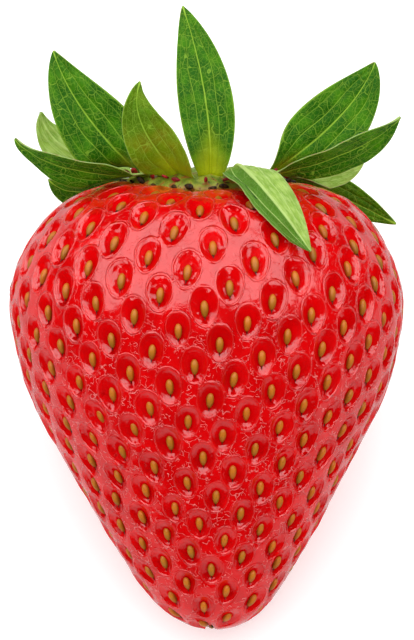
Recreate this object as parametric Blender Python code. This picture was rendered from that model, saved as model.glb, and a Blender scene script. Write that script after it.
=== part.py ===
"""A picked strawberry lying on its side: the berry, its calyx disc, thirteen sepals and the snapped stem.

Everything is modelled upright in the fruit's own frame (millimetres, tip at the origin, calyx up, the
side that will face upwards at -Y), then laid down by one empty so that the berry rests on its flat spot.
"""

import math
from typing import NamedTuple

import bmesh
import bpy
from mathutils import Matrix, Vector
from mathutils.bvhtree import BVHTree

MM = 0.001

# Berry. The outline runs from the hollow under the calyx over the shoulder to the tip: (radius, height).
OUTLINE = (
    (0.0, 43.7),
    (4.2, 43.8),
    (6.4, 44.4),
    (8.2, 44.9),
    (10.8, 44.5),
    (14.1, 43.0),
    (17.1, 40.0),
    (19.1, 36.0),
    (19.7, 31.5),
    (18.3, 25.0),
    (14.9, 18.0),
    (10.5, 10.0),
    (6.75, 4.0),
    (3.9, 1.2),
    (0.0, 0.0),
)
OUTLINE_STEPS = 3  # pieces that each stretch of the outline is cut into
BERRY_TURNS = 60  # facets round the berry
DEPTH_TO_WIDTH = 0.95  # a berry is a little flatter than round
TIP_LEAN, LEAN_BELOW = 0.5, 25.0  # the tip bends this far to +X, below this height

# Resting. The axis dips towards the tip, and the flesh is pressed flat where it bears.
AXIS_DIP = math.radians(24.0)
FLAT_DEPTH = 0.3

# Calyx disc and stem, turned about the berry's axis: (radius, height), from the underside up.
DISC_OUTLINE = ((0.0, 44.15), (4.1, 44.2), (5.9, 44.75), (6.4, 45.2), (6.0, 45.75), (4.6, 46.0), (0.0, 45.9))
DISC_TURNS = 40
STEM_FOOT = Vector((0.5, 0.3, 46.35))
STEM_LENGTH, STEM_RADIUS, STEM_TAPER = 3.0, 1.0, 0.82
STEM_TURNS = 16

# Sepals. Each blade grows from the disc's rim and is bent along a midrib, which starts at the root, heads for
# two points in turn and ends at the tip. The inner side, which looks up while the fruit hangs, is the facing.
ROOT_RADIUS = 6.75
BLADE_THICKNESS = 0.4
FLESH_CLEARANCE = 0.55  # from the flesh to the blade's middle layer
BLADE_ROWS, BLADE_COLUMNS = 14, 6
TIP_HALF_WIDTH = 0.12
FULLNESS = 0.82  # under 1 rounds a blade out towards its ends
ROOT_SHARE = 0.32  # half-width at the root, as a share of the widest half-width
FACE_SETTLES = 0.45  # how far along the blade it has turned from lying on the disc to its own facing


class Sepal(NamedTuple):
    compass: float  # degrees round the berry: -90 faces up once it lies down, 0 is +X
    root_height: float
    early: tuple
    late: tuple
    tip: tuple
    half_width: float
    facing: tuple
    fold: float  # how far the margins rise towards the facing side, as a share of the half-width


SEPALS = {
    "sepal_upright": Sepal(
        -87, 45.5, (0.5, -7.9, 50.5), (-0.6, -7.4, 56.5), (-2.4, -5.4, 62.0), 2.6, (0.0, -1.0, -0.1), 0.12
    ),
    "sepal_left_curled": Sepal(
        -116, 45.5, (-5.1, -8.6, 47.6), (-7.9, -10.4, 51.0), (-6.5, -9.4, 54.3), 2.25, (0.2, -1.0, -0.5), 0.25
    ),
    "sepal_left_broad": Sepal(
        -178, 45.7, (-8.4, -1.4, 47.2), (-13.5, -2.4, 51.8), (-15.3, -2.0, 57.8), 3.5, (0.0, -1.0, -0.15), 0.1
    ),
    "sepal_left_low": Sepal(
        -148, 45.1, (-9.5, -6.0, 45.4), (-15.5, -7.2, 45.2), (-19.0, -6.2, 48.8), 2.1, (0.0, -0.6, -0.8), 0.25
    ),
    "sepal_left_rear": Sepal(
        161, 45.3, (-9.5, 3.3, 46.0), (-16.4, 4.6, 47.6), (-16.8, 3.4, 52.0), 2.4, (-0.2, 0.9, -0.4), 0.1
    ),
    "sepal_left_drooping": Sepal(
        135, 45.2, (-8.0, 9.0, 45.6), (-13.4, 11.6, 42.6), (-16.2, 10.0, 45.3), 2.7, (0.1, -0.75, -0.65), 0.15
    ),
    "sepal_back_left": Sepal(
        108, 45.5, (-3.6, 10.5, 47.4), (-5.6, 15.6, 45.6), (-7.6, 18.2, 40.5), 2.5, (0.0, -0.4, -1.0), 0.1
    ),
    "sepal_back_right": Sepal(
        82, 45.4, (1.8, 11.5, 46.8), (3.7, 16.4, 45.0), (5.2, 18.8, 40.0), 2.4, (0.0, -0.4, -1.0), 0.1
    ),
    "sepal_right_drooping": Sepal(
        56, 45.2, (8.0, 9.0, 46.0), (13.5, 11.0, 44.2), (19.2, 8.5, 40.8), 2.1, (0.25, -0.9, -0.3), 0.12
    ),
    "sepal_right_rear": Sepal(
        22, 45.5, (9.8, 3.6, 46.4), (13.6, 5.0, 45.6), (16.0, 5.2, 47.4), 2.2, (-0.1, 0.85, -0.5), 0.1
    ),
    "sepal_right_broad": Sepal(
        -18, 45.7, (8.2, -2.8, 46.9), (14.6, -3.2, 51.0), (16.7, -2.8, 56.6), 3.35, (0.05, -1.0, -0.1), 0.1
    ),
    "sepal_right_low": Sepal(
        -44, 45.1, (8.5, -7.4, 45.6), (14.5, -8.8, 46.8), (19.1, -7.6, 50.8), 2.2, (0.2, -0.6, -0.75), 0.22
    ),
    "sepal_front_folded": Sepal(
        -64, 45.6, (2.3, -10.2, 47.7), (6.5, -17.2, 42.8), (9.9, -16.4, 37.6), 2.35, (0.25, 0.8, -0.5), 0.3
    ),
}


def clear_scene():
    for old in list(bpy.data.objects):
        bpy.data.objects.remove(old)


def material(name, colour, roughness):
    made = bpy.data.materials.new(name)
    made.use_nodes = True
    shader = made.node_tree.nodes["Principled BSDF"]
    shader.inputs["Base Color"].default_value = (*colour, 1.0)
    shader.inputs["Roughness"].default_value = roughness
    shader.inputs["Metallic"].default_value = 0.0
    return made


def add_object(name, mesh_builder, finish, frame):
    """A named object from a bmesh in the fruit's frame, in millimetres, hung on the frame's empty."""
    bmesh.ops.recalc_face_normals(mesh_builder, faces=mesh_builder.faces)
    bmesh.ops.scale(mesh_builder, vec=(MM, MM, MM), verts=mesh_builder.verts)
    mesh = bpy.data.meshes.new(name)
    mesh_builder.to_mesh(mesh)
    mesh_builder.free()
    mesh.materials.append(finish)
    mesh.shade_smooth()
    made = bpy.data.objects.new(name, mesh)
    bpy.context.scene.collection.objects.link(made)
    made.parent = frame
    return made


def smooth_outline(points, steps):
    """Points on a Catmull-Rom curve through the given (radius, height) pairs, level where it meets the axis."""
    across = [(-radius, height) for radius, height in (points[1], points[-2])]
    padded = [across[0], *points, across[1]]
    curve = []
    for before, start, end, after in zip(padded, padded[1:], padded[2:], padded[3:]):
        for step in range(steps):
            t = step / steps
            blend = (
                (-t + 2 * t**2 - t**3) / 2,
                (2 - 5 * t**2 + 3 * t**3) / 2,
                (t + 4 * t**2 - 3 * t**3) / 2,
                (t**3 - t**2) / 2,
            )
            corners = (before, start, end, after)
            curve.append(tuple(sum(b * c[axis] for b, c in zip(blend, corners)) for axis in (0, 1)))
    return [*curve, points[-1]]


def turned(outline, turns):
    """A solid of revolution about Z from an outline whose ends lie on the axis."""
    shape = bmesh.new()
    line = [shape.verts.new((max(radius, 0.0), 0.0, height)) for radius, height in outline]
    edges = [shape.edges.new(pair) for pair in zip(line, line[1:])]
    bmesh.ops.spin(
        shape,
        geom=[*line, *edges],
        cent=(0, 0, 0),
        axis=(0, 0, 1),
        angle=math.tau,
        steps=turns,
        use_merge=True,
    )
    bmesh.ops.remove_doubles(shape, verts=shape.verts, dist=1e-4)
    return shape


def laid_down():
    """The turn that lays the fruit on its side, and the centre of the flat spot once it has been turned."""
    turn = Matrix.Rotation(AXIS_DIP - math.pi / 2, 4, "X")
    rim = [turn @ Vector((0, radius * DEPTH_TO_WIDTH, height)) for radius, height in smooth_outline(OUTLINE, 60)]
    level = min(point.z for point in rim) + FLAT_DEPTH
    pressed = [point.y for point in rim if point.z < level]
    return turn, Vector((0, (min(pressed) + max(pressed)) / 2, level))


def build_berry(frame, turn, rest_point):
    berry = turned(smooth_outline(OUTLINE, OUTLINE_STEPS), BERRY_TURNS)
    for vert in berry.verts:
        vert.co.y *= DEPTH_TO_WIDTH
        below = max(0.0, 1.0 - vert.co.z / LEAN_BELOW)
        vert.co.x += TIP_LEAN * below * below * (3 - 2 * below)
    upright = turn.inverted()
    bmesh.ops.bisect_plane(
        berry,
        geom=[*berry.verts, *berry.edges, *berry.faces],
        dist=1e-4,
        plane_co=upright @ rest_point,
        plane_no=upright @ Vector((0, 0, 1)),
        clear_inner=True,
    )
    open_rim = [edge for edge in berry.edges if edge.is_boundary]
    bmesh.ops.contextual_create(berry, geom=open_rim)
    bmesh.ops.recalc_face_normals(berry, faces=berry.faces)
    flesh = BVHTree.FromBMesh(berry)
    add_object("berry", berry, material("ripe_flesh", (0.62, 0.004, 0.006), 0.2), frame)
    return flesh


def build_disc(frame):
    disc = turned(smooth_outline(DISC_OUTLINE, 2), DISC_TURNS)
    add_object("calyx_disc", disc, material("disc_green", (0.35, 0.36, 0.07), 0.55), frame)


def build_stem(frame):
    stem = bmesh.new()
    bmesh.ops.create_cone(
        stem,
        cap_ends=True,
        segments=STEM_TURNS,
        radius1=STEM_RADIUS,
        radius2=STEM_RADIUS * STEM_TAPER,
        depth=STEM_LENGTH,
    )
    bmesh.ops.translate(stem, vec=STEM_FOOT + Vector((0, 0, STEM_LENGTH / 2)), verts=stem.verts)
    add_object("stem_stub", stem, material("stem_green", (0.30, 0.38, 0.10), 0.6), frame)


def half_width(along, widest):
    """An ovate blade: narrow at the root, widest just short of half-way, drawn out to a point."""
    ovate = math.sin(math.pi * along**0.92) ** FULLNESS if 0 < along < 1 else 0.0
    return widest * (ROOT_SHARE * (1 - along) ** 2 + 0.97 * ovate) + TIP_HALF_WIDTH


def sepal_point(along, across, sepal):
    """A point of the blade's middle layer: along runs 0 to 1 from root to tip, across -1 to 1."""
    outward = Vector((math.cos(math.radians(sepal.compass)), math.sin(math.radians(sepal.compass)), 0))
    root = outward * ROOT_RADIUS + Vector((0, 0, sepal.root_height))
    early, late, tip = Vector(sepal.early), Vector(sepal.late), Vector(sepal.tip)
    rest = 1 - along
    midrib = rest**3 * root + 3 * rest**2 * along * early + 3 * rest * along**2 * late + along**3 * tip
    heading = rest**2 * (early - root) + 2 * rest * along * (late - early) + along**2 * (tip - late)
    settled = min(1.0, along / FACE_SETTLES)
    lying = Vector((0, 0, -1)) + outward * max(0.0, heading.normalized().z) * 2
    looks = lying.normalized().lerp(Vector(sepal.facing).normalized(), settled * settled * (3 - 2 * settled))
    side = heading.cross(looks).normalized()
    normal = side.cross(heading).normalized()
    reach = half_width(along, sepal.half_width)
    lift = sepal.fold * reach * (math.sqrt(across * across + 0.02) - math.sqrt(0.02))
    return midrib + side * (across * reach) + normal * lift


def lifted_clear(point, flesh):
    """The point itself, or where it stands just off the berry if it would touch it."""
    nearest, outward, _, _ = flesh.find_nearest(point)
    height = (point - nearest).dot(outward)
    return point if height >= FLESH_CLEARANCE else nearest + outward * FLESH_CLEARANCE


def build_sepal(name, sepal, flesh, finish, frame):
    blade = bmesh.new()
    bmesh.ops.create_grid(blade, x_segments=BLADE_ROWS, y_segments=BLADE_COLUMNS, size=1.0)
    for vert in blade.verts:
        along, across = (vert.co.x + 1) / 2, vert.co.y
        vert.co = lifted_clear(sepal_point(along, across, sepal), flesh)
    made = add_object(name, blade, finish, frame)
    thicken = made.modifiers.new("thickness", "SOLIDIFY")
    thicken.thickness = BLADE_THICKNESS * MM
    thicken.offset = 0.0


def main():
    clear_scene()
    turn, rest_point = laid_down()
    frame = bpy.data.objects.new("fruit_frame", None)
    bpy.context.scene.collection.objects.link(frame)
    frame.rotation_euler = turn.to_euler()
    frame.location = -rest_point * MM
    flesh = build_berry(frame, turn, rest_point)
    build_disc(frame)
    build_stem(frame)
    leaf_green = material("sepal_green", (0.10, 0.26, 0.03), 0.45)
    for name, sepal in SEPALS.items():
        build_sepal(name, sepal, flesh, leaf_green, frame)


main()
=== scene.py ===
"""A picked strawberry lying on a pale table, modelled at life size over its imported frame."""

import math
import random
from typing import NamedTuple

import bmesh
import bpy
import numpy as np
from mathutils import Matrix, Vector, noise
from mathutils.bvhtree import BVHTree


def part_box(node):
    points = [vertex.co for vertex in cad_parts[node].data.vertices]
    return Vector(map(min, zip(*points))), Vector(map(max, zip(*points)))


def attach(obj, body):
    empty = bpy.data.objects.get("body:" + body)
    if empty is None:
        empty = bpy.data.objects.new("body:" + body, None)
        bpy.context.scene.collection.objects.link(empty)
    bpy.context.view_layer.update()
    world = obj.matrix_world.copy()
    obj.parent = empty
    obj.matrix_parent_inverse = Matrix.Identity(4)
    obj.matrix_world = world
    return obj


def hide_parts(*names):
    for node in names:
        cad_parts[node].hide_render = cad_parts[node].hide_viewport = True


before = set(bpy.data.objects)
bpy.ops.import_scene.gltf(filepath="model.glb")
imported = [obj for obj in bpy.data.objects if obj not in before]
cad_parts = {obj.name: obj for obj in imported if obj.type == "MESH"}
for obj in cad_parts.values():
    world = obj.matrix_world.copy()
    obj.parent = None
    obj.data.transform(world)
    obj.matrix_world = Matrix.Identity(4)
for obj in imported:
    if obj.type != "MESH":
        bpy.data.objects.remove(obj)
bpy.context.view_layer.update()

# ---- The camera -------------------------------------------------------------------------------------
# The fruit is modelled upright in its own frame: millimetres from the tip, calyx up, the cheek that shows
# facing -Y. It lies on its other cheek with the tip low, so the camera looks down on it, square to its axis.

MM = 0.001
AXIS_DIP = math.radians(24.0)
VIEW_DISTANCE, VIEW_CENTRE = 420.0, Vector((0.0, 0.0, 31.0))
VIEW_HEIGHT = 64.0  # how much of the fruit's length the picture takes in

OUTLINE = (  # (radius, height) from the tip, over the shoulder and into the hollow under the calyx
    (0.0, 0.0),
    (3.9, 1.2),
    (6.75, 4.0),
    (10.5, 10.0),
    (14.9, 18.0),
    (18.3, 25.0),
    (19.7, 31.5),
    (19.1, 36.0),
    (17.1, 40.0),
    (14.1, 43.0),
    (10.8, 44.5),
    (8.2, 44.9),
    (6.4, 44.4),
    (4.2, 43.8),
    (0.0, 43.7),
)
OUTLINE_STEPS = 40
DEPTH_TO_WIDTH = 0.95  # a berry is a little flatter than round


def smooth_outline(points, steps):
    """(radius, height) rows on a Catmull-Rom curve through the points, level where it meets the axis."""
    rows = np.array(points)
    mirrored = np.array((-1.0, 1.0))
    rows = np.vstack((rows[1] * mirrored, rows, rows[-2] * mirrored))
    t = np.linspace(0, 1, steps, endpoint=False)[:, None]
    curve = []
    for before, start, end, after in zip(rows, rows[1:], rows[2:], rows[3:]):
        straight = 2 * start + (end - before) * t
        bend = (2 * before - 5 * start + 4 * end - after) * t**2
        bend += (3 * start - before - 3 * end + after) * t**3
        curve.append((straight + bend) / 2)
    return np.vstack((*curve, rows[-2:-1]))


skin_outline = smooth_outline(OUTLINE, OUTLINE_STEPS)
lay_down = Matrix.Rotation(AXIS_DIP - math.pi / 2, 4, "X")
cheeks = [
    lay_down @ Vector((0, side * DEPTH_TO_WIDTH * radius, height))
    for side in (-1, 1)
    for radius, height in skin_outline
]
berry_low, berry_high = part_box("berry")
to_table = Vector((
    0,
    berry_low.y / MM - min(point.y for point in cheeks),
    berry_high.z / MM - max(point.z for point in cheeks),
))
in_place = Matrix.Scale(MM, 4) @ Matrix.Translation(to_table) @ lay_down


def lay(made):
    """Takes a mesh from the fruit's frame to its place on the table, pressed flat where it bears."""
    made.data.transform(in_place)
    resting = np.empty(len(made.data.vertices) * 3, np.float32)
    made.data.vertices.foreach_get("co", resting)
    resting[2::3] = np.maximum(resting[2::3], 0)
    made.data.vertices.foreach_set("co", resting)
    made.data.update()


camera = bpy.data.objects.new("camera", bpy.data.cameras.new("camera"))
bpy.context.scene.collection.objects.link(camera)
camera.data.sensor_fit = "VERTICAL"
camera.data.angle_y = 2 * math.atan(VIEW_HEIGHT / 2 / VIEW_DISTANCE)
camera.data.clip_start = 0.01
standing = Matrix(((1, 0, 0, 0), (0, 0, -1, 0), (0, 1, 0, 0), (0, 0, 0, 1)))
eye = in_place @ (VIEW_CENTRE + Vector((0, -VIEW_DISTANCE, 0)))
camera.matrix_world = Matrix.Translation(eye) @ (lay_down @ standing)
bpy.context.scene.camera = camera

# ---- The berry ----------------------------------------------------------------------------------------
# The swollen red receptacle: one piece of juicy flesh under a thin, wet-looking skin, dimpled round each
# seed and pressed a little flat where it lies. It is blown up from a cube, so its faces are about one size.

TIP_LEAN, LEAN_BELOW = 0.5, 25.0
FRONT_DIP, DIP_SPREAD, DIP_ABOVE = 1.1, math.radians(52), 41.5  # the shoulder is lower where it shows
SKIN_CUTS = 127
GOLDEN_ANGLE = math.pi * (3 - math.sqrt(5))
FIRST_SEED = 3.395  # the angle at which the spiral starts
SEED_ROOM = (  # (way up the skin, area of skin for each seed)
    (0.0, 12.4),
    (12.3, 9.3),
    (24.6, 11.7),
    (37.0, 12.3),
    (49.3, 16.0),
    (61.6, 16.2),
)
FULL_ROOM = 12.5  # where a seed has this room, it is full-grown
LOWEST_SEED, LAST_SEED_RADIUS = 0.4, 8.6
SMALLEST_RING = 0.5  # the least radius that turns a way round the skin into an angle
SEED_SCATTER, SEED_TWIST = 0.12, 0.07
SEED_VARIES, SEED_LIMITS = (0.94, 1.05), (0.84, 1.08)
NUDGE = 0.05
PIT_HALF_WIDTH, PIT_HALF_HEIGHT, PIT_DEPTH = 1.25, 1.80, 0.52
PIT_FADES = 2.4  # in half-heights from a seed: beyond this its pit is not felt
PIT_RISE = 0.14  # how far a seed sits below the middle of its pit, as a share of the pit's half-height
PIT_TAPER = 0.13
PIT_STEEPNESS, STEEPER_BELOW, RIM_SOFTNESS = 4.4, 0.4, 0.05
PIT_LEAN = 0.32  # how much deeper a pit is at its lower end
RIM_SNAP = 0.095  # mesh this close to a rim, or to the foot of its wall, is drawn onto it
WALL_FOOT = 0.8
NOWHERE_NEAR = 9.0
BELLY_NOISE, BELLY_LUMP = 0.12, 0.22
RIPPLE_NOISE, RIPPLE = 0.8, 0.07

arc_up = np.concatenate(([0.0], np.cumsum(np.hypot(*np.diff(skin_outline, axis=0).T))))
ring_lengths = math.tau * skin_outline[:, 0]
area_up = np.concatenate(([0.0], np.cumsum((ring_lengths[1:] + ring_lengths[:-1]) / 2 * np.diff(arc_up))))


def on_skin(arc, compass):
    """Points of the smooth skin, from the way up the outline and the angle round the berry (0 faces -Y)."""
    radius = np.interp(arc, arc_up, skin_outline[:, 0])
    height = np.interp(arc, arc_up, skin_outline[:, 1])
    below = np.clip(1 - height / LEAN_BELOW, 0, 1)
    lean = TIP_LEAN * below * below * (3 - 2 * below)
    turned = np.arctan2(np.sin(compass), np.cos(compass))
    crest = np.clip((height - DIP_ABOVE) / (skin_outline[:, 1].max() - DIP_ABOVE), 0, 1)
    height = height - FRONT_DIP * np.exp(-((turned / DIP_SPREAD) ** 2)) * crest * crest * (3 - 2 * crest)
    sideways = radius * np.sin(compass) + lean
    backwards = -DEPTH_TO_WIDTH * radius * np.cos(compass)
    return np.stack((sideways, backwards, height), axis=-1)


def seed_places():
    """Where the seeds sit: one spiral by the golden angle, each seed with its own room, a little unruly."""
    draw = random.Random(4)
    room = np.interp(arc_up, *zip(*SEED_ROOM))
    counted = np.concatenate(([0.0], np.cumsum(np.diff(area_up) / (room[1:] + room[:-1]) * 2)))
    crest = int(np.argmax(skin_outline[:, 1]))
    last_arc = arc_up[: crest + 1][skin_outline[: crest + 1, 0] > LAST_SEED_RADIUS].max()
    places = []
    for number in range(int(np.interp(last_arc, arc_up, counted))):
        arc = max(np.interp(number, counted, arc_up), LOWEST_SEED)
        arc += draw.uniform(-SEED_SCATTER, SEED_SCATTER)
        compass = FIRST_SEED + GOLDEN_ANGLE * number
        radius = max(np.interp(arc, arc_up, skin_outline[:, 0]), SMALLEST_RING)
        compass += draw.uniform(-SEED_SCATTER, SEED_SCATTER) / radius
        place = Vector(on_skin(arc, compass))
        up = (Vector(on_skin(arc + NUDGE, compass)) - Vector(on_skin(arc - NUDGE, compass))).normalized()
        turn = NUDGE / radius
        round_about = Vector(on_skin(arc, compass + turn)) - Vector(on_skin(arc, compass - turn))
        out = round_about.cross(up).normalized()
        up.rotate(Matrix.Rotation(draw.gauss(0, SEED_TWIST), 3, out))
        size = math.sqrt(np.interp(arc, *zip(*SEED_ROOM)) / FULL_ROOM) * draw.uniform(*SEED_VARIES)
        size = min(max(size, SEED_LIMITS[0]), SEED_LIMITS[1])
        places.append((place, up.cross(out).normalized(), up, out, size, draw.random()))
    return places


seeds = seed_places()


def pit_shape(offsets, across, up, size):
    """Each point's place in a pit as (side, rise, reach), where reach is 1 at the rim."""
    side = offsets @ np.array(across) / (PIT_HALF_WIDTH * size)
    rise = offsets @ np.array(up) / (PIT_HALF_HEIGHT * size) - PIT_RISE
    return side, rise, np.hypot(side / (1 + PIT_TAPER * np.clip(rise, -1, 1)), rise)


berry_mesh = bpy.data.meshes.new("flesh")
shape = bmesh.new()
bmesh.ops.create_cube(shape, size=2.0)
bmesh.ops.subdivide_edges(shape, edges=shape.edges, cuts=SKIN_CUTS, use_grid_fill=True)
shape.to_mesh(berry_mesh)
shape.free()
count = len(berry_mesh.vertices)
cube = np.empty(count * 3, np.float32)
berry_mesh.vertices.foreach_get("co", cube)
ball = np.tan(cube.reshape(-1, 3).astype(float) * math.pi / 4)
ball /= np.linalg.norm(ball, axis=1, keepdims=True)
ball_arcs = np.interp((1 + ball[:, 2]) / 2 * area_up[-1], area_up, arc_up)
skin = on_skin(ball_arcs, np.arctan2(ball[:, 0], -ball[:, 1]))
berry_mesh.vertices.foreach_set("co", skin.astype(np.float32).ravel())
berry_mesh.update()
outward = np.empty(count * 3, np.float32)
berry_mesh.vertices.foreach_get("normal", outward)
outward = outward.reshape(-1, 3).astype(float)
sunk = np.zeros(count)
in_pit = np.tile((0.0, 0.0, NOWHERE_NEAR), (count, 1))
drawn = np.full(count, NOWHERE_NEAR)
moved = skin.copy()
for place, across, up, out, size, _ in seeds:
    offsets = skin - np.array(place)
    near = np.flatnonzero((offsets**2).sum(axis=1) < (PIT_FADES * PIT_HALF_HEIGHT * size) ** 2)
    side, rise, reach = pit_shape(offsets[near], across, up, size)
    for ring in (1.0, WALL_FOOT):
        onto_ring = np.abs(reach - ring) < np.minimum(RIM_SNAP, drawn[near])
        picked = near[onto_ring]
        shift = ring / reach[onto_ring] - 1
        moved[picked] = skin[picked] + np.outer(shift * side[onto_ring] * PIT_HALF_WIDTH * size, across)
        moved[picked] += np.outer(shift * rise[onto_ring] * PIT_HALF_HEIGHT * size, up)
        drawn[picked] = np.abs(reach[onto_ring] - ring)
        reach = np.where(onto_ring, ring, reach)
    steepness = PIT_STEEPNESS - STEEPER_BELOW * np.clip(rise, -1, 1)
    bowl = RIM_SOFTNESS * np.logaddexp(0, (1 - np.minimum(reach, 2) ** steepness) / RIM_SOFTNESS)
    sunk[near] += PIT_DEPTH * size * bowl * (1 - PIT_LEAN * np.clip(rise, -1, 1))
    nearer = reach < in_pit[near, 2]
    in_pit[near[nearer]] = np.stack((side, rise, reach), axis=-1)[nearer]
skin = moved
swell = np.array([noise.noise(Vector(point) * BELLY_NOISE) for point in skin]) * BELLY_LUMP
swell += np.array([noise.noise(Vector(point) * RIPPLE_NOISE) for point in skin]) * RIPPLE
skin += outward * (swell - sunk)[:, None]
berry_mesh.vertices.foreach_set("co", skin.astype(np.float32).ravel())
flesh = bpy.data.objects.new("flesh", berry_mesh)
bpy.context.scene.collection.objects.link(flesh)
lay(flesh)
pit_map = berry_mesh.attributes.new("pit", "FLOAT_VECTOR", "POINT")
pit_map.data.foreach_set("vector", np.clip(in_pit, -2, 2).astype(np.float32).ravel())
berry_mesh.shade_smooth()


class Wire:
    """A socket in a material. Sums and products of wires become Math nodes."""

    def __init__(self, tree, socket=None):
        self.tree, self.socket = tree, socket

    def node(self, kind, sockets, output=0, **settings):
        """A new node with these settings and these socket values or wires, as a wire from one output."""
        made = self.tree.nodes.new("ShaderNode" + kind)
        for setting, value in settings.items():
            setattr(made, setting, value)
        for socket, value in sockets.items():
            if isinstance(value, Wire):
                self.tree.links.new(value.socket, made.inputs[socket])
            else:
                made.inputs[socket].default_value = value
        return Wire(self.tree, made.outputs[output])

    def math(self, operation, *values):
        return self.node("Math", dict(enumerate(values)), operation=operation)

    def vector(self, operation, *values, output=0):
        return self.node("VectorMath", dict(enumerate((self, *values))), output, operation=operation)

    def along(self, axis):
        return self.node("SeparateXYZ", {0: self}, axis)

    def __add__(self, other):
        return self.math("ADD", self, other)

    __radd__ = __add__

    def __sub__(self, other):
        return self.math("SUBTRACT", self, other)

    def __rsub__(self, other):
        return self.math("SUBTRACT", other, self)

    def __mul__(self, other):
        return self.math("MULTIPLY", self, other)

    __rmul__ = __mul__

    def __abs__(self):
        return self.math("ABSOLUTE", self)

    def step(self, low, high, start=0.0, end=1.0):
        """A smooth step from start to end as this wire goes from low to high."""
        levels = {"Value": self, "From Min": low, "From Max": high, "To Min": start, "To Max": end}
        return self.node("MapRange", levels, interpolation_type="SMOOTHSTEP")

    def mix(self, first, second):
        """The first colour where this wire is 0, the second where it is 1."""
        return self.node("Mix", {0: self, 6: first, 7: second}, 2, data_type="RGBA")

    def noise(self, scale, detail=2.0, roughness=0.5, output=0):
        levels = {"Vector": self, "Scale": scale, "Detail": detail, "Roughness": roughness}
        return self.node("TexNoise", levels, output)


def new_material(name, **levels):
    """A material with plain values on its Principled shader, a wire to start from and that shader."""
    material = bpy.data.materials.new(name)
    material.use_nodes = True
    shader = material.node_tree.nodes["Principled BSDF"]
    for socket, value in levels.items():
        shader.inputs[socket.replace("_", " ").title().replace("Ior", "IOR")].default_value = value
    return material, Wire(material.node_tree), shader


def connect(shader, wires):
    for socket, wire in wires.items():
        wire.tree.links.new(wire.socket, shader.inputs[socket])


def fruit_place(start):
    """Wire of a point's place in the fruit's upright frame, in millimetres."""
    back = in_place.inverted()
    turn = {"Location": back.translation, "Rotation": lay_down.inverted().to_euler(), "Scale": (1 / MM,) * 3}
    return start.node("Mapping", {"Vector": start.node("TexCoord", {}, "Object"), **turn})


SKIN_RED, SKIN_BRIGHT = (0.54, 0.0003, 0.001, 1), (0.65, 0.001, 0.002, 1)
# The pale pink skin colour is a painted highlight, for glints on the creases and round the pit rims.
SKIN_NECK, SKIN_GLINT = (0.62, 0.13, 0.01, 1), (0.90, 0.22, 0.20, 1)
# PIT_SHADE is painted shade: a darker red laid into the pits' bowls, the groove round crown pits and the
# pores.
PIT_SHADE = (0.36, 0.001, 0.002, 1)
JUICY = {"Subsurface Weight": 0.45, "Subsurface Scale": 0.002, "Subsurface Radius": (1.0, 0.12, 0.08)}
WET = {"roughness": 0.09, "ior": 1.5, "specular_ior_level": 0.58}

# The skin between the pits is wet and shines. The bowls of the pits are matt, but for splashes in them.
flesh_finish, start, shader = new_material("strawberry_skin", **WET)
dull = flesh_finish.node_tree.nodes.new("ShaderNodeBsdfPrincipled")
dull.inputs["Roughness"].default_value = 0.6
dull.inputs["Specular IOR Level"].default_value = 0.0
for surface in (shader, dull):
    for socket, value in JUICY.items():
        surface.inputs[socket].default_value = value
place = fruit_place(start)
height = place.along("Z")
in_pit = start.node("Attribute", {}, "Vector", attribute_name="pit")
rise = in_pit.along("Y")
reach = in_pit.along("Z")
crown = height.step(27.0, 31.5)
mottle = place.noise(0.35, 4.0).step(0.35, 0.65)
red = mottle.mix(SKIN_RED, SKIN_BRIGHT)
# Painted shade: the bowl of each pit, round its seed, is darkened towards the pit shade red.
floor = reach.step(0.2, 0.6, 1.0, 0.0)
red = (floor * 0.3).mix(red, PIT_SHADE)
from_axis = place.vector("MULTIPLY", (1.0, 1.0, 0.0)).vector("LENGTH", output="Value")
neck = (from_axis - place.noise(0.8) * 1.6).step(7.6, 9.8, 0.9, 0.0) * height.step(40.0, 42.0)
grain = place.noise(7.0, 3.0, 0.6)
drift = place.noise(1.0, 1.0, output=1).vector("MULTIPLY", (2.0, 2.0, 2.0))
warped = place.vector("ADD", drift)
creases = start.node("TexVoronoi", {"Vector": warped, "Scale": 1.15}, feature="DISTANCE_TO_EDGE")
between = reach.step(0.98, 1.12)
crease_and_glint = creases.step(0.012, 0.045, 1.0, 0.0) * place.noise(1.6, 1.0).step(0.47, 0.51)
crease_and_glint = crease_and_glint * between * (1 - crown * 0.8)
ragged = reach + place.noise(1.6, 3.0) * 0.12 - 0.06
lip = ragged.step(0.94, 1.01) * ragged.step(1.03, 1.12, 1.0, 0.0)
# A painted highlight: a thin pale line at each pit's rim, with no relief of its own.
rim_glint = ragged.step(0.97, 1.0) * ragged.step(1.02, 1.06, 1.0, 0.0)
groove_and_shade = ragged.step(1.07, 1.1) * ragged.step(1.11, 1.15, 1.0, 0.0) * place.noise(0.6, 1.0).step(0.4, 0.6)
ripple = place.noise(1.6, 2.0) * 0.03
relief = grain * 0.009 + ripple + crease_and_glint * 0.09 + lip * 0.06 - groove_and_shade * 0.04
bump = start.node("Bump", {"Height": relief, "Distance": MM, "Strength": 1.0})
# Painted shade: tiny pores between the pits, darkened in the pit shade red and kept matt.
shaded_pores = start.node("TexVoronoi", {"Vector": warped, "Scale": 1.5}).step(0.05, 0.1, 1.0, 0.0)
shaded_pores = shaded_pores * place.noise(0.9, 1.0).step(0.45, 0.55) * between
# Painted highlight: the creases between the pits, a real bump too, are tinted pale pink as if they caught
# the shine.
colour = (crease_and_glint * 0.6).mix(neck.mix(red, SKIN_NECK), SKIN_GLINT)
# Painted highlight: the pale rim line round each pit, stronger on the crown.
colour = (rim_glint * (0.05 + crown * 0.1)).mix(colour, SKIN_GLINT)
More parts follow.
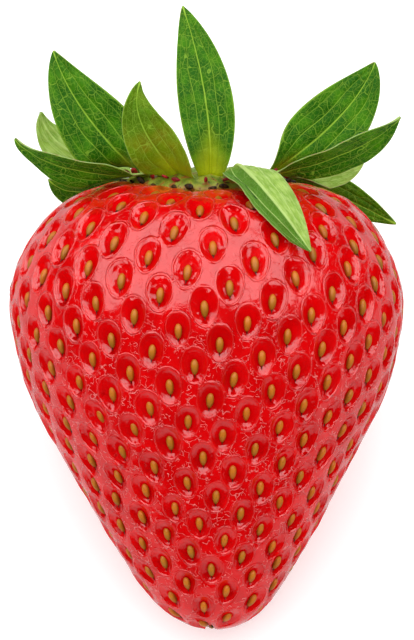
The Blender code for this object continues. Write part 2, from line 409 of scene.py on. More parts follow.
# Painted shade: the groove outside each crown pit, a real bump too, is darkened, and so are the pores.
colour = (groove_and_shade * crown * 0.5 + shaded_pores * 0.7).mix(colour, PIT_SHADE)
cracks = start.node("TexVoronoi", {"Vector": warped, "Scale": 2.4}, feature="DISTANCE_TO_EDGE")
cracks = cracks.step(0.02, 0.06, 1.0, 0.0) * place.noise(1.9, 1.0).step(0.45, 0.5) * (1 - between)
wet_from = rise.step(-0.35, 0.25, 0.62, 0.50) * (1 - crown) + crown * 0.79
wetness = (reach + place.noise(1.2, 2.0) * 0.16 - 0.08 - wet_from).step(-0.02, 0.03, 0.04, 1.0)
wetness = wetness * (1 - cracks * 0.75) * (1 - shaded_pores * 0.8)
splashes = place.noise(1.3, 1.0).step(0.56, 0.6, 0.0, 0.9) * reach.step(0.35, 0.45) * (0.4 + crown * 0.6)
wetness = wetness.math("MAXIMUM", wetness, splashes)
for surface in (shader, dull):
    connect(surface, {"Base Color": colour, "Normal": bump})
matt, glossy = (Wire(start.tree, surface.outputs[0]) for surface in (dull, shader))
skinned = start.node("MixShader", {0: wetness, 1: matt, 2: glossy})
connect(flesh_finish.node_tree.nodes["Material Output"], {"Surface": skinned})
berry_mesh.materials.append(flesh_finish)
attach(flesh, "root")
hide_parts("berry")

# ---- The seeds ---------------------------------------------------------------------------------------
# Each achene is a hard little fruit of its own: a golden-brown teardrop set in its pit, narrow end towards
# the berry's tip, with the dried style as a short dark thread at that end.

SEED_HALF = (0.39, 0.80, 0.38)
SEED_SIDES, SEED_RINGS = 8, 7
SEED_TAPER, SEED_ROUNDING = 0.14, 0.1
SEED_DEPTH = 0.48  # of the seed's middle below the smooth skin
STYLE_RADIUS, STYLE_LENGTH, STYLE_SIDES = 0.09, 0.5, 4
STYLE_LIFT, STYLE_ANGLE = 0.06, math.radians(80)
EVEN_SHARE = 0.35  # how far small seeds keep the size of the others
TONES = 16
SEED_GOLD = (0.54, 0.15, 0.010, 1), (0.43, 0.15, 0.010, 1)
SEED_BROWN = (0.36, 0.10, 0.005, 1), (0.24, 0.10, 0.005, 1)
# The edge colour is painted shade for the two sides of each seed.
SEED_SIDE_SHADE, SEED_SPECKLE = (0.20, 0.05, 0.004, 1), (0.12, 0.04, 0.006, 1)
STYLE_BLACK = (0.03, 0.008, 0.004, 1)

one_seed = bmesh.new()
grain_map = one_seed.loops.layers.uv.new("grain")
poles_along = Matrix.Rotation(-math.pi / 2, 4, "X")
bmesh.ops.create_uvsphere(
    one_seed, u_segments=SEED_SIDES, v_segments=SEED_RINGS, radius=1.0, matrix=poles_along
)
for face in one_seed.faces:
    for loop in face.loops:
        loop[grain_map].uv = (loop.vert.co.x * 0.5 + 0.5, loop.vert.co.y * 0.5 + 0.5)
for vert in one_seed.verts:
    side, along, lift = vert.co
    width = 1 + SEED_TAPER * along - SEED_ROUNDING * along * along
    vert.co = (side * width * SEED_HALF[0], along * SEED_HALF[1], lift * width * SEED_HALF[2])
bmesh.ops.create_cone(
    one_seed,
    segments=STYLE_SIDES,
    radius1=STYLE_RADIUS,
    radius2=STYLE_RADIUS / 3,
    depth=STYLE_LENGTH,
    matrix=Matrix.Translation((0, -SEED_HALF[1], STYLE_LIFT)) @ Matrix.Rotation(STYLE_ANGLE, 4, "X"),
)
seed_blank = bpy.data.meshes.new("achenes")
one_seed.to_mesh(seed_blank)
one_seed.free()
all_seeds = bmesh.new()
for spot, across, up, out, size, tone in seeds:
    axes = Matrix((across, up, out)).transposed() * (EVEN_SHARE + (1 - EVEN_SHARE) * size)
    sown = seed_blank.copy()
    sown.transform(Matrix.Translation(spot - out * SEED_DEPTH * size) @ axes.to_4x4())
    marks = np.empty(len(sown.loops) * 2, np.float32)
    sown.uv_layers["grain"].uv.foreach_get("vector", marks)
    marks[0::2] += math.floor(tone * TONES)
    sown.uv_layers["grain"].uv.foreach_set("vector", marks)
    all_seeds.from_mesh(sown)
    bpy.data.meshes.remove(sown)
all_seeds.to_mesh(seed_blank)
all_seeds.free()
seed_blank.shade_smooth()
achenes = bpy.data.objects.new("achenes", seed_blank)
bpy.context.scene.collection.objects.link(achenes)
lay(achenes)

seed_finish, start, shader = new_material("seed_coat", roughness=0.3, ior=1.4, specular_ior_level=0.25)
on_coat = start.node("UVMap", {}, uv_map="grain")
end = on_coat.along("Y")
marks = on_coat.along("X")
side = marks.math("FRACT", marks)
tone = start.node("TexWhiteNoise", {"W": marks.math("FLOOR", marks)}, 0, noise_dimensions="1D")
shade = abs(side - 0.5).step(0.3, 0.5)
speckle = fruit_place(start).noise(9.0, 2.0).step(0.58, 0.72)
coat = end.step(0.05, 0.8).mix(tone.mix(*SEED_BROWN), tone.mix(*SEED_GOLD))
# Painted shade: each seed is darkened along its two sides, where it turns away and sinks into its pit.
coat = (shade * 0.7).mix(coat, SEED_SIDE_SHADE)
coat = (speckle * 0.5).mix(coat, SEED_SPECKLE)
coat = end.step(0.0, 0.1, 1.0, 0.0).mix(coat, STYLE_BLACK)
connect(shader, {"Base Color": coat})
seed_blank.materials.append(seed_finish)
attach(achenes, "root")

# ---- The calyx disc ----------------------------------------------------------------------------------
# The olive collar that holds sepals and berry together: firm tissue with a puckered rim, reddened and
# flecked where petals and stamens have dropped off. It is one growth with both.

DISC_OUTLINE = (
    (0.0, 43.9),
    (5.6, 43.8),
    (7.4, 44.0),
    (8.2, 44.6),
    (7.7, 45.25),
    (6.5, 45.7),
    (4.6, 46.0),
    (2.4, 45.95),
    (1.3, 46.2),
    (0.0, 46.3),
)
DISC_TURNS, DISC_STEPS = 120, 6
DISC_PUCKER, PUCKER_NOISE, PUCKER_STRETCH = 0.22, 1.1, Vector((1, 1, 0.5))
DISC_RIBS, DISC_RIB, FULL_RIB_RADIUS = 13, 0.09, 5.0
RIM_DIP, RIM_DIP_FROM, RIM_DIP_OVER = 0.8, 5.5, 2.7  # how much of the shoulder's dip, and over which radii
DISC_GREEN = (0.10, 0.15, 0.008, 1), (0.24, 0.28, 0.02, 1)
DISC_BLUSH, DISC_FLECK, DISC_FOOT = (0.30, 0.035, 0.012, 1), (0.03, 0.012, 0.008, 1), (0.42, 0.09, 0.01, 1)
MIDDLE_RAYS = (0.13, 0.25, 0.03, 1), (0.26, 0.40, 0.07, 1)
OUTER_RAYS = (0.24, 0.36, 0.03, 1), (0.40, 0.50, 0.07, 1)


def revolve(points, steps, turns):
    """A closed turned shape about the fruit's axis."""
    turned = bmesh.new()
    outline = smooth_outline(points, steps)
    line = [turned.verts.new((max(radius, 0.0), 0.0, height)) for radius, height in outline]
    edges = [turned.edges.new(pair) for pair in zip(line, line[1:])]
    bmesh.ops.spin(
        turned,
        geom=[*line, *edges],
        cent=(0, 0, 0),
        axis=(0, 0, 1),
        angle=math.tau,
        steps=turns,
        use_merge=True,
    )
    bmesh.ops.remove_doubles(turned, verts=turned.verts, dist=1e-4)
    bmesh.ops.recalc_face_normals(turned, faces=turned.faces)
    turned.normal_update()
    return turned


def finished(name, shape, *finishes):
    """The object of a bmesh in the fruit's frame, laid on the table, with its materials."""
    mesh = bpy.data.meshes.new(name)
    shape.to_mesh(mesh)
    shape.free()
    for finish in finishes:
        mesh.materials.append(finish)
    mesh.shade_smooth()
    made = bpy.data.objects.new(name, mesh)
    bpy.context.scene.collection.objects.link(made)
    lay(made)
    return made


def rim_dip(turned, radius):
    """How much lower the collar sits at this angle from the front, where its rim follows the shoulder."""
    front = math.exp(-((turned / DIP_SPREAD) ** 2))
    return RIM_DIP * FRONT_DIP * front * (max(radius - RIM_DIP_FROM, 0) / RIM_DIP_OVER)


disc_shape = revolve(DISC_OUTLINE, DISC_STEPS, DISC_TURNS)
for vert in disc_shape.verts:
    pucker = DISC_PUCKER * noise.noise(vert.co * PUCKER_STRETCH * PUCKER_NOISE)
    rib = DISC_RIB * math.cos(DISC_RIBS * math.atan2(vert.co.y, vert.co.x))
    vert.co += vert.normal * (pucker + rib * min(vert.co.xy.length / FULL_RIB_RADIUS, 1) ** 2)
    vert.co.z -= rim_dip(math.atan2(vert.co.x, -vert.co.y), vert.co.xy.length)

disc_finish, start, shader = new_material("calyx_tissue", roughness=0.45, specular_ior_level=0.2)
place = fruit_place(start)
height = place.along("Z")
green = place.noise(1.1, 3.0).step(0.35, 0.65).mix(*DISC_GREEN)
blush = place.noise(1.7, 2.0).step(0.56, 0.64) * 0.6
colour = blush.mix(green, DISC_BLUSH)
fleck = place.noise(2.6, 1.0).step(0.63, 0.68)
colour = (fleck * 0.85).mix(colour, DISC_FLECK)
foot = (height + place.noise(1.4) * 0.7).step(44.2, 44.8, 1.0, 0.0)
colour = (foot * 0.3).mix(colour, DISC_FOOT)
level = place.vector("MULTIPLY", (1.0, 1.0, 0.0))
spoke = level.vector("NORMALIZE")
rays = (spoke.noise(6.0, 3.0) + level.noise(0.7, 2.0) * 0.4).step(0.5, 0.9)
outer = level.vector("LENGTH", output="Value").step(1.5, 6.5)
top = outer.mix(rays.mix(*MIDDLE_RAYS), rays.mix(*OUTER_RAYS))
colour = (height + place.noise(1.2) * 0.3).step(45.55, 45.85).mix(colour, top)
relief = place.noise(3.0, 3.0) * 0.12 + rays * 0.1
connect(shader, {"Base Color": colour, "Normal": start.node("Bump", {"Height": relief, "Distance": MM})})
disc = finished("calyx_collar", disc_shape, disc_finish)
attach(disc, "root")
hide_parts("calyx_disc")

# ---- The stem ----------------------------------------------------------------------------------------
# A short end of the fruit stalk, snapped off in picking: pale green, ribbed along its length, with a ragged
# fibrous break that has started to dry brown.

STEM_FOOT, STEM_RADIUS, STEM_TAPER = Vector((0.5, 0.3, 45.7)), 1.0, 0.82
STEM_LENGTH, STEM_FLARE, FLARE_SHARE = 3.45, 0.75, 0.28
STEM_BOW = Vector((0.25, 0.35, 0))
STEM_SIDES, STEM_RINGS = 48, 16
STEM_RIBS, RIB_DEPTH = 9, 0.055
BREAK_RINGS = (0.82, 0.6, 0.35)  # shares of the radius
BREAK_ROUGHNESS, BREAK_NOISE, BREAK_CUP = 0.35, 2.3, 0.3
STEM_GREEN, STEM_DRIED = ((0.20, 0.33, 0.04, 1), (0.34, 0.47, 0.10, 1)), (0.22, 0.13, 0.05, 1)


def extruded(shape, edges):
    """Extrudes a ring of edges and returns the new ring's vertices and edges."""
    grown = bmesh.ops.extrude_edge_only(shape, edges=edges)["geom"]
    verts = [item for item in grown if isinstance(item, bmesh.types.BMVert)]
    new_edges = [item for item in grown if isinstance(item, bmesh.types.BMEdge)]
    return verts, [edge for edge in new_edges if all(vert in verts for vert in edge.verts)]


stem_shape = bmesh.new()
bmesh.ops.create_circle(stem_shape, segments=STEM_SIDES, radius=1.0, cap_ends=False)
ring = list(stem_shape.edges)
for step in range(STEM_RINGS):
    upper, ring = extruded(stem_shape, ring)
    bmesh.ops.translate(stem_shape, vec=(0, 0, 1 / STEM_RINGS), verts=upper)
for inset in BREAK_RINGS:
    inner, ring = extruded(stem_shape, ring)
    for vert in inner:
        vert.co.xy = vert.co.xy.normalized() * inset
bmesh.ops.contextual_create(stem_shape, geom=ring)
for vert in stem_shape.verts:
    up, reach, turn = vert.co.z, vert.co.xy.length, math.atan2(vert.co.y, vert.co.x)
    flare = STEM_FLARE * max(0.0, 1 - up / FLARE_SHARE) ** 2
    radius = STEM_RADIUS * (STEM_TAPER + (1 - STEM_TAPER) * (1 - up) + flare)
    radius += RIB_DEPTH * math.cos(STEM_RIBS * turn) * reach
    fibre = Vector((math.cos(turn), math.sin(turn), reach))
    ragged = BREAK_ROUGHNESS * (noise.noise(fibre * BREAK_NOISE) + BREAK_CUP * reach)
    outward = radius * reach
    vert.co = (outward * math.cos(turn), outward * math.sin(turn), STEM_LENGTH * up + ragged * up**6)
    vert.co += STEM_FOOT + STEM_BOW * up * up
bmesh.ops.holes_fill(stem_shape, edges=[edge for edge in stem_shape.edges if edge.is_boundary])
bmesh.ops.recalc_face_normals(stem_shape, faces=stem_shape.faces)

stem_finish, start, shader = new_material("stalk_rind", roughness=0.5, specular_ior_level=0.2)
place = fruit_place(start)
fibres = place.vector("MULTIPLY", (3.0, 3.0, 0.35))
green = fibres.noise(2.0, 3.0).step(0.3, 0.7).mix(*STEM_GREEN)
dried = (place.along("Z") + place.noise(2.2) * 0.8).step(49.1, 49.7)
colour = dried.mix(green, STEM_DRIED)
relief = fibres.noise(4.0, 2.0) * 0.05
connect(shader, {"Base Color": colour, "Normal": start.node("Bump", {"Height": relief, "Distance": MM})})
stem = finished("stalk_end", stem_shape, stem_finish)
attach(stem, "root")
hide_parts("stem_stub")

# ---- The stamens -------------------------------------------------------------------------------------
# What is left of the flower round the disc: withered filaments with their anthers, wine-red above and dried
# nearly black below, each a soft thread with a knob at its end, growing out of the collar's rim.

STAMEN_ROWS = (  # (how many, radius, height, outward lean, how dry)
    (24, 7.75, 45.4, 0.6, 0.0),
    (27, 8.05, 44.75, 0.8, 1.0),
)
FILAMENT_LENGTH, FILAMENT_RADIUS, FILAMENT_SIDES, FILAMENT_FOOT = 0.5, 0.1, 6, 1.4
ANTHER_HALF, ANTHER_SEGMENTS, ANTHER_RINGS = (0.32, 0.2, 0.52), 7, 5
STAMEN_STRAYS, STAMEN_LIFTS, STAMEN_LEANS = 0.35, 0.15, (-0.25, 0.35)
STAMEN_BENDS, STAMEN_TURNS, STAMEN_SIZES = 1.3, 3, (0.7, 1.15)
STAMEN_WINE = (0.32, 0.010, 0.012, 1), (0.16, 0.006, 0.008, 1)
STAMEN_BLACK = (0.008, 0.005, 0.003, 1), (0.05, 0.025, 0.006, 1)

one_stamen = bmesh.new()
one_stamen.loops.layers.uv.new("dryness")
bmesh.ops.create_cone(
    one_stamen,
    cap_ends=True,
    segments=FILAMENT_SIDES,
    radius1=FILAMENT_RADIUS * FILAMENT_FOOT,
    radius2=FILAMENT_RADIUS,
    depth=FILAMENT_LENGTH,
    matrix=Matrix.Translation((0, 0, FILAMENT_LENGTH / 2)),
)
bmesh.ops.create_uvsphere(
    one_stamen,
    u_segments=ANTHER_SEGMENTS,
    v_segments=ANTHER_RINGS,
    radius=1.0,
    matrix=Matrix.Translation((0, 0, FILAMENT_LENGTH)) @ Matrix.Diagonal((*ANTHER_HALF, 1)),
)
stamen_blank = bpy.data.meshes.new("stamens")
one_stamen.to_mesh(stamen_blank)
one_stamen.free()
all_stamens = bmesh.new()
draw = random.Random(11)
for how_many, radius, height, lean, dryness in STAMEN_ROWS:
    for number in range(how_many):
        turn = math.tau * (number + draw.uniform(-STAMEN_STRAYS, STAMEN_STRAYS)) / how_many
        level = height - rim_dip(math.atan2(math.sin(turn), math.cos(turn)), radius)
        grown = stamen_blank.copy()
        grown.transform(
            Matrix.Rotation(turn, 4, "Z")
            @ Matrix.Translation((0, -radius, level + draw.uniform(-STAMEN_LIFTS, STAMEN_LIFTS)))
            @ Matrix.Rotation(math.pi / 2 * (lean + draw.uniform(*STAMEN_LEANS)), 4, "X")
            @ Matrix.Rotation(draw.uniform(-STAMEN_BENDS, STAMEN_BENDS), 4, "Y")
            @ Matrix.Rotation(draw.uniform(0, STAMEN_TURNS), 4, "Z")
            @ Matrix.Scale(draw.uniform(*STAMEN_SIZES), 4)
        )
        marks = np.full(len(grown.loops) * 2, dryness, np.float32)
        grown.uv_layers["dryness"].uv.foreach_set("vector", marks)
        all_stamens.from_mesh(grown)
        bpy.data.meshes.remove(grown)
bpy.data.meshes.remove(stamen_blank)

stamen_finish, start, shader = new_material("withered_stamen", roughness=0.5, specular_ior_level=0.12)
place = fruit_place(start)
dry = start.node("UVMap", {}, uv_map="dryness").along("X")
wine = place.noise(2.0).step(0.4, 0.6).mix(*STAMEN_WINE)
black = place.noise(3.0).step(0.4, 0.6).mix(*STAMEN_BLACK)
relief = place.noise(6.0, 2.0) * 0.1
bump = start.node("Bump", {"Height": relief, "Distance": MM})
connect(shader, {"Base Color": dry.mix(wine, black), "Normal": bump})
stamens = finished("stamens", all_stamens, stamen_finish)
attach(stamens, "root")

# ---- The sepals --------------------------------------------------------------------------------------
# Thirteen thin leaves that grow out of the disc: dark and veined inside, pale and downy outside, with a cut
# edge. Each is bent along its midrib, with its veins sunk in the inner side and raised on the outer.

ROOT_RADIUS, SEAT_RADIUS, SEAT_HEIGHT = 6.75, 5.0, 45.35
ROOT_REACH, ROOT_BEND = 0.1, 2.2
BLADE_THICKNESS, EDGE_SHARE, EDGE_SHARPNESS = 0.26, 0.3, 5
FLESH_CLEARANCE = 0.5
BLADE_ROWS, BLADE_COLUMNS = 96, 34
LENGTH_STEPS = 20
TIP_HALF_WIDTH = 0.05
FULLNESS = 0.82  # under 1 rounds a blade out towards its ends
ROOT_TAKES = 0.25  # how much a broad root takes from the middle's width
FACE_SETTLES = 0.45
FOLD_SOFTNESS = 0.02
SIDE_VEINS = ((0.42, 0.085, 0.16), (0.76, 0.05, 0.12))  # (place across, depth, half-width in mm)
VEINS_SET_IN = 8
MIDRIB_DEPTH, MIDRIB_HALF_WIDTH, MIDRIB_FADES = 0.17, 0.22, 0.65
VEIN_WANDER = 0.05
MARGIN_WAVE, WAVES_ALONG = 0.13, 2.6
BLADE_LUMPS, LUMP_NOISE = 0.10, 0.75
CELLS_APART = 40.0  # from one blade's part of the cell pattern to the next


class Sepal(NamedTuple):
    compass: float  # degrees round the berry: -90 shows most once it lies down, 0 is +X
    root_height: float
    early: tuple
    late: tuple
    tip: tuple
    half_width: float
    facing: tuple
    fold: float
    root_share: float = 0.36
    peak: float = 0.95  # over 1 moves the widest part towards the tip
    ageing: float = 0.0  # 0 is deep green, 1 olive and yellowing
    darker_half: float = 0.0  # how far one half of the outer side is tinted a darker green


SEPALS = {
    "sepal_upright": Sepal(
        -87, 45.5, (0.5, -7.9, 50.5), (-0.6, -7.4, 56.5), (-2.4, -5.4, 62.0), 2.6,
        facing=(0.0, -1.0, -0.1), fold=0.12, root_share=0.47, peak=0.98,
    ),
    "sepal_left_curled": Sepal(
        -116, 45.5, (-5.1, -8.6, 47.6), (-7.9, -10.4, 51.0), (-6.5, -9.4, 54.3), 2.25,
        facing=(0.2, -1.0, -0.5), fold=0.25, root_share=0.8, peak=0.85, ageing=0.85,
    ),
    "sepal_left_broad": Sepal(
        -178, 45.7, (-8.4, -1.4, 47.2), (-13.5, -2.4, 51.8), (-15.3, -2.0, 57.8), 3.5,
        facing=(0.0, -1.0, -0.15), fold=0.1,
    ),
    "sepal_left_low": Sepal(
        -148, 45.1, (-9.5, -6.0, 45.4), (-15.5, -7.2, 45.2), (-19.0, -6.2, 48.8), 2.1,
        facing=(0.0, -0.6, -0.8), fold=0.25, root_share=0.42,
    ),
    "sepal_left_rear": Sepal(
        161, 45.3, (-9.5, 3.3, 46.0), (-16.4, 4.6, 47.6), (-16.8, 3.4, 52.0), 2.4,
        facing=(-0.2, 0.9, -0.4), fold=0.1,
    ),
    "sepal_left_drooping": Sepal(
        135, 45.2, (-8.0, 9.0, 45.6), (-13.4, 11.6, 42.6), (-16.2, 10.0, 45.3), 2.7,
        facing=(0.1, -0.75, -0.65), fold=0.15,
    ),
    "sepal_back_left": Sepal(
        108, 45.5, (-3.6, 10.5, 47.4), (-5.6, 15.6, 45.6), (-7.6, 18.2, 40.5), 2.5,
        facing=(0.0, -0.4, -1.0), fold=0.1,
    ),
    "sepal_back_right": Sepal(
        82, 45.4, (1.8, 11.5, 46.8), (3.7, 16.4, 45.0), (5.2, 18.8, 40.0), 2.4,
        facing=(0.0, -0.4, -1.0), fold=0.1,
    ),
    "sepal_right_drooping": Sepal(
        56, 45.2, (8.0, 9.0, 46.0), (13.5, 11.0, 44.2), (19.2, 8.5, 40.8), 2.1,
        facing=(0.25, -0.9, -0.3), fold=0.12, peak=1.2, ageing=0.35,
    ),
    "sepal_right_rear": Sepal(
        22, 45.5, (9.8, 3.6, 46.4), (13.6, 5.0, 45.6), (16.0, 5.2, 47.4), 2.2,
        facing=(-0.1, 0.85, -0.5), fold=0.1,
    ),
    "sepal_right_broad": Sepal(
        -18, 45.7, (8.2, -2.8, 46.9), (14.6, -3.2, 51.0), (16.7, -2.8, 56.6), 3.35,
        facing=(0.05, -1.0, -0.1), fold=0.1, root_share=0.3, peak=1.2,
    ),
    "sepal_right_low": Sepal(
        -44, 45.1, (8.5, -7.4, 45.6), (14.5, -8.8, 46.8), (19.1, -7.6, 50.8), 2.2,
        facing=(0.2, -0.6, -0.75), fold=0.22, root_share=0.14, peak=1.5,
    ),
    "sepal_front_folded": Sepal(
        -64, 45.6, (2.3, -10.2, 47.7), (6.5, -17.2, 42.8), (9.9, -16.4, 37.6), 2.35,
        facing=(0.25, 0.8, -0.5), fold=0.55, root_share=0.45, peak=1.25, darker_half=1.0,
    ),
}

plain_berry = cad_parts["berry"].data
out_of_place = in_place.inverted()
smooth_berry = BVHTree.FromPolygons(
    [out_of_place @ vert.co for vert in plain_berry.vertices],
    [tuple(face.vertices) for face in plain_berry.polygons],
)


def blade_middle(sepal, along):
    """A place on the midrib, its heading and the way outwards: from -ROOT_REACH, in the disc, to 1."""
    outward = Vector((math.cos(math.radians(sepal.compass)), math.sin(math.radians(sepal.compass)), 0))
    root = outward * ROOT_RADIUS + Vector((0, 0, sepal.root_height))
    early, late, tip = Vector(sepal.early), Vector(sepal.late), Vector(sepal.tip)
    if along < 0:
        seat = outward * SEAT_RADIUS + Vector((0, 0, SEAT_HEIGHT))
        u = 1 + along / ROOT_REACH
        leaving, arriving = outward * ROOT_BEND, (early - root).normalized() * ROOT_BEND
        place = (2 * u**3 - 3 * u**2 + 1) * seat + (u**3 - 2 * u**2 + u) * leaving
        place += (3 * u**2 - 2 * u**3) * root + (u**3 - u**2) * arriving
        heading = (6 * u**2 - 6 * u) * (seat - root) + (3 * u**2 - 4 * u + 1) * leaving
        heading += (3 * u**2 - 2 * u) * arriving
        return place, heading, outward
    rest = 1 - along
    place = rest**3 * root + 3 * rest**2 * along * early + 3 * rest * along**2 * late + along**3 * tip
    heading = rest**2 * (early - root) + 2 * rest * along * (late - early) + along**2 * (tip - late)
    return place, heading, outward


def half_width(sepal, along):
    rise = max(along, 0.0)
    ovate = max(math.sin(math.pi * min(rise, 1.0) ** sepal.peak), 0.0) ** FULLNESS
    root = sepal.root_share * (1 - rise) ** 2
    return sepal.half_width * (root + (1 - ROOT_TAKES * sepal.root_share) * ovate) + TIP_HALF_WIDTH


def ridge(distance, reach):
    return math.exp(-((distance / reach) ** 2))


def blade_relief(sepal, number, along, across, vein_across, reach, length):
    """How far the blade rises here: its fold and lumps, its sunk midrib and side veins, its wavy margin."""
    lift = sepal.fold * reach * (math.sqrt(across * across + FOLD_SOFTNESS) - math.sqrt(FOLD_SOFTNESS))
    fading = 1 - MIDRIB_FADES * max(along, 0)
    lift -= MIDRIB_DEPTH * fading * ridge(across * reach, MIDRIB_HALF_WIDTH)
    for vein_place, depth, spread in SIDE_VEINS:
        from_vein = (abs(vein_across) - vein_place) * reach
        lift -= depth * ridge(from_vein, spread) * min(1, max(along, 0) * VEINS_SET_IN)
    lump_at = Vector((across * reach, along * length, 9.0 * number)) * LUMP_NOISE
    lift += BLADE_LUMPS * noise.noise(lump_at)
    wave = math.sin(math.tau * WAVES_ALONG * along + 1.7 * number + across)
    return lift + MARGIN_WAVE * across * across * wave


def build_blade(sepal, number):
    """The blade's middle layer, with its veins' relief and the maps that its material reads."""
    blade = bmesh.new()
    bmesh.ops.create_grid(blade, x_segments=BLADE_ROWS, y_segments=BLADE_COLUMNS, size=1.0)
    vein_map = blade.loops.layers.uv.new("veins")
    cell_map = blade.loops.layers.uv.new("cells")
    age_map = blade.loops.layers.uv.new("age")
    edge = blade.verts.layers.deform.verify()
    middles = [blade_middle(sepal, step / LENGTH_STEPS)[0] for step in range(LENGTH_STEPS + 1)]
    length = sum((after - before).length for before, after in zip(middles, middles[1:]))
    marks = {}
    for vert in blade.verts:
        along, across = (vert.co.x + 1) / 2 * (1 + ROOT_REACH) - ROOT_REACH, vert.co.y
        middle, heading, outward = blade_middle(sepal, along)
        settled = min(1.0, max(along, 0.0) / FACE_SETTLES)
        settled = settled * settled * (3 - 2 * settled)
        lying = Vector((0, 0, -1)) + outward * max(0.0, heading.normalized().z) * 2
        looks = lying.normalized().lerp(Vector(sepal.facing).normalized(), settled)
        side = heading.cross(looks).normalized()
        normal = side.cross(heading).normalized()
        reach = half_width(sepal, along)
        drift = VEIN_WANDER * math.sin(7 * along + 2.3 * number)
        drift += VEIN_WANDER / 2 * math.sin(17 * along + number)
        vein_across = across + drift * math.sin(math.pi * abs(across)) * math.copysign(1, across)
        lift = blade_relief(sepal, number, along, across, vein_across, reach, length)
        point = middle + side * (across * reach) + normal * lift
        nearest, away, _, _ = smooth_berry.find_nearest(point)
        if (point - nearest).dot(away) < FLESH_CLEARANCE and along > 0:
            point = nearest + away * FLESH_CLEARANCE
        vert.co = point
        vert[edge][0] = 1 - (1 - EDGE_SHARE) * abs(across) ** EDGE_SHARPNESS
        on_blade = (across * reach, along * length + CELLS_APART * number)
        marks[vert] = ((vein_across, along), on_blade, (sepal.ageing, sepal.darker_half))
    for face in blade.faces:
        for loop in face.loops:
            for layer, mark in zip((vein_map, cell_map, age_map), marks[loop.vert]):
                loop[layer].uv = mark
    return blade


LEAF_OLIVE = (0.17, 0.27, 0.003, 1), (0.26, 0.23, 0.006, 1)
LEAF_DARKER_HALF = (0.05, 0.17, 0.004, 1)
LEAF_EDGE = (0.24, 0.36, 0.09, 1), (0.28, 0.20, 0.07, 1)


def sepal_finish(name, shade, light, vein, base, net, down, **levels):
    """One side of a sepal: its green, a midrib, two side veins each way, a net of fine ones and its down."""
    finish, start, shader = new_material(name, **levels)
    veins = start.node("UVMap", {}, uv_map="veins")
    cells = start.node("UVMap", {}, uv_map="cells")
    ages = start.node("UVMap", {}, uv_map="age")
    across = abs(veins.along("X"))
    along = veins.along("Y")
    from_midrib = abs(cells.along("X"))
    one_half = veins.along("X").step(-0.03, 0.03, 1.0, 0.0)
    midrib = (from_midrib - (0.15 - along * 0.12)).step(-0.02, 0.05, 1.0, 0.0)
    sides = abs(across - SIDE_VEINS[0][0]).step(0.004, 0.026, 0.85, 0.0)
    outer = abs(across - SIDE_VEINS[1][0]).step(0.002, 0.022, 0.45, 0.0)
    bent = cells.vector("ADD", cells.noise(0.8, 1.0, output=1).vector("MULTIPLY", (0.8, 0.8, 0.8)))
    slanted = bent.node("Mapping", {"Vector": bent, "Scale": (0.95, 0.62, 1.0)})
    mesh_edges = start.node("TexVoronoi", {"Vector": slanted, "Scale": 1.0}, feature="DISTANCE_TO_EDGE")
    coarse = mesh_edges.step(0.004, 0.027, 0.62, 0.0)
    fine_edges = start.node("TexVoronoi", {"Vector": bent, "Scale": 2.7}, feature="DISTANCE_TO_EDGE")
    fine = fine_edges.step(0.0, 0.09, 0.3, 0.0)
    network = coarse.math("MAXIMUM", coarse, fine) * net
    large = midrib.math("MAXIMUM", midrib, sides.math("MAXIMUM", sides, outer))
    lines = large.math("MAXIMUM", large, network)
    patch = (cells.noise(0.5, 3.0) + mesh_edges * 0.35).step(0.42, 0.78)
    green = patch.mix(shade, light)
    strands = cells.node("Mapping", {"Vector": cells, "Scale": (4.5, 0.9, 1.0)})
    hairs = strands.noise(1.0, 3.0).step(0.4, 0.65)
    green = (hairs * down).mix(green, vein)
    olive = cells.noise(0.35, 2.0).step(0.45, 0.7).mix(*LEAF_OLIVE)
    green = (ages.along("X") * along.step(-0.05, 0.75, 1.0, 0.35)).mix(green, olive)
    # One half of the outer side is tinted a darker green, by the second mark in the age map.
    green = (ages.along("Y") * one_half * 0.9).mix(green, LEAF_DARKER_HALF)
    colour = (lines * along.step(0.0, 0.25, 0.25, 0.85)).mix(green, vein)
    pale_to = along + from_midrib * 0.11 + cells.noise(0.9, 2.0) * 0.06
    colour = pale_to.step(0.02, 0.42, 1.0, 0.0).mix(colour, base)
    colour = (across.step(0.93, 1.0) * 0.6).mix(colour, vein)
    relief = large * -0.03 - coarse * 0.035 - fine * 0.03 + cells.noise(6.0, 2.0) * 0.02
    relief = relief - hairs * (down * 0.08)
    heights = {"Height": relief, "Distance": MM, "Strength": 1.0}
    bump = start.node("Bump", heights, invert=name == "sepal_outer")
    connect(shader, {"Base Color": colour, "Normal": bump})
    return finish


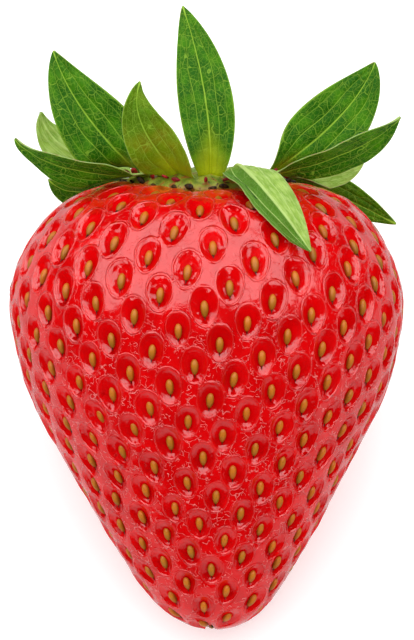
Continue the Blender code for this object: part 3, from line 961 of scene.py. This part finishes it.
inner_side = sepal_finish(
    "sepal_inner",
    shade=(0.014, 0.095, 0.0005, 1),
    light=(0.046, 0.18, 0.0005, 1),
    vein=(0.29, 0.49, 0.04, 1),
    base=(0.33, 0.40, 0.004, 1),
    net=1.0,
    down=0.0,
    roughness=0.5,
    specular_ior_level=0.05,
)
outer_side = sepal_finish(
    "sepal_outer",
    shade=(0.20, 0.35, 0.04, 1),
    light=(0.33, 0.48, 0.09, 1),
    vein=(0.44, 0.60, 0.18, 1),
    base=(0.42, 0.50, 0.05, 1),
    net=0.35,
    down=0.5,
    roughness=0.62,
    specular_ior_level=0.06,
    sheen_weight=0.06,
    sheen_roughness=0.4,
)
margin, start, shader = new_material("sepal_margin", roughness=0.5)
cut = start.node("UVMap", {}, uv_map="cells").noise(1.3, 2.0).step(0.45, 0.65)
connect(shader, {"Base Color": cut.mix(*LEAF_EDGE)})
for number, (name, sepal) in enumerate(SEPALS.items()):
    leaf_name = name.replace("sepal", "leaf")
    blade = finished(leaf_name, build_blade(sepal, number), outer_side, inner_side, margin)
    blade.vertex_groups.new(name="body")
    thicken = blade.modifiers.new("thickness", "SOLIDIFY")
    thicken.thickness, thicken.offset = BLADE_THICKNESS * MM, 0.0
    thicken.vertex_group = "body"
    thicken.material_offset, thicken.material_offset_rim = 1, 2
    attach(blade, "root")
    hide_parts(name)

# ---- The studio --------------------------------------------------------------------------------------
# A wide pale table in a bright room. One large soft light makes the shine on the skin, another fills the
# shade, and the table near the fruit shows in the skin as a pale glow.

TABLE_WHITE, TABLE_HALF = (0.86, 0.86, 0.86, 1), 2.0
GLOW_HALF, GLOW_DROP = 0.14, 0.00005
LIGHT_WHITE, DARK = (1, 1, 1, 1), (0, 0, 0, 1)
ROOM_LIGHT, ROOM_MIRRORED, ROOM_SEEN = (0.64, 0.64, 0.64, 1), (0.012, 0.012, 0.012, 1), (0.9, 0.9, 0.9, 1)
SOFTBOX_DISTANCE = 0.5

table_shape = bmesh.new()
bmesh.ops.create_grid(table_shape, x_segments=1, y_segments=1, size=TABLE_HALF)
table_mesh = bpy.data.meshes.new("table")
table_shape.to_mesh(table_mesh)
table_shape.free()
table = bpy.data.objects.new("table", table_mesh)
bpy.context.scene.collection.objects.link(table)
table_finish, start, shader = new_material("pale_table", roughness=0.6, emission_strength=0.28)
shader.inputs["Emission Color"].default_value = LIGHT_WHITE
shader.inputs["Base Color"].default_value = TABLE_WHITE
table_mesh.materials.append(table_finish)
table.visible_glossy = False

glow_shape = bmesh.new()
bmesh.ops.create_circle(glow_shape, cap_ends=True, segments=64, radius=GLOW_HALF)
bmesh.ops.translate(glow_shape, vec=(0, 0, -GLOW_DROP), verts=glow_shape.verts)
glow_mesh = bpy.data.meshes.new("table_glow")
glow_shape.to_mesh(glow_mesh)
glow_shape.free()
glow = bpy.data.objects.new("table_glow", glow_mesh)
bpy.context.scene.collection.objects.link(glow)
glow_finish, start, shader = new_material("table_glow", emission_strength=0.72)
shader.inputs["Base Color"].default_value = DARK
shader.inputs["Emission Color"].default_value = LIGHT_WHITE
glow_mesh.materials.append(glow_finish)
glow.visible_camera = glow.visible_diffuse = glow.visible_shadow = glow.visible_transmission = False


def hang_softbox(name, tilt, swing, size, watts):
    """A soft light aimed at the berry, tilted up from the camera towards the calyx and swung to the side."""
    softbox = bpy.data.objects.new(name, bpy.data.lights.new(name, "AREA"))
    bpy.context.scene.collection.objects.link(softbox)
    softbox.data.shape = "RECTANGLE"
    softbox.data.size, softbox.data.size_y = size
    softbox.data.energy = watts
    softbox.visible_camera = False
    aim = Matrix.Rotation(math.radians(swing), 4, "Z") @ Matrix.Rotation(math.radians(-tilt), 4, "X")
    away = Matrix.Translation((0, -SOFTBOX_DISTANCE / MM, 0))
    hung = lay_down @ Matrix.Translation((0, 0, VIEW_CENTRE.z)) @ aim @ away
    softbox.matrix_world = Matrix.Translation(hung.translation * MM) @ (lay_down @ aim @ standing)
    return softbox


shine = hang_softbox("softbox_shine", 38, -5, (1.8, 0.84), 17.0)
shine.visible_diffuse = False
fill = hang_softbox("softbox_fill", 35, -6, (1.2, 1.2), 6.0)
fill.visible_glossy = False

world = bpy.data.worlds.new("room")
bpy.context.scene.world = world
world.use_nodes = True
room = Wire(world.node_tree)
background = world.node_tree.nodes["Background"]
seen = room.node("LightPath", {}, "Is Camera Ray")
gloss = room.node("LightPath", {}, "Is Glossy Ray")
connect(background, {"Color": seen.mix(gloss.mix(ROOM_LIGHT, ROOM_MIRRORED), ROOM_SEEN)})
bpy.context.scene.view_settings.view_transform = "Standard"
